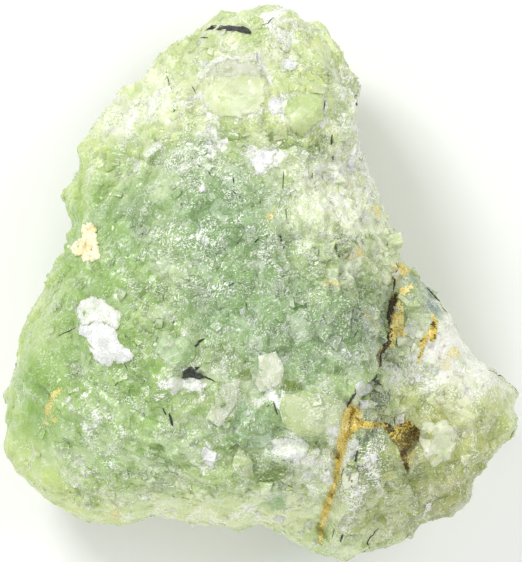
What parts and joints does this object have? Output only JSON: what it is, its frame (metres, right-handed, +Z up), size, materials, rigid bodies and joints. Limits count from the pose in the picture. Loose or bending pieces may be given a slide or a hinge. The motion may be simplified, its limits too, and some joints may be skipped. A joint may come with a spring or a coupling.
{
  "type": "raw prehnite",
  "caption": "Rough palm-size lump of pale green prehnite, one solid of blocky grown-together crystals with a weathered crack and pit, lying on a flat broken base.",
  "frame": {"origin": "on the resting plane, under the middle of the stone's box", "axes": "+Z up, out of the crystal face; +Y towards the narrow end; +X to the right seen from above"},
  "size_m": [0.0571, 0.0615, 0.0341],
  "materials": {
    "prehnite": "waxy pale green crystalline stone, white on fresh breaks, ochre in the cracks"
  },
  "bodies": {
    "root": {"prehnite_stone": "prehnite"}
  },
  "joints": []
}
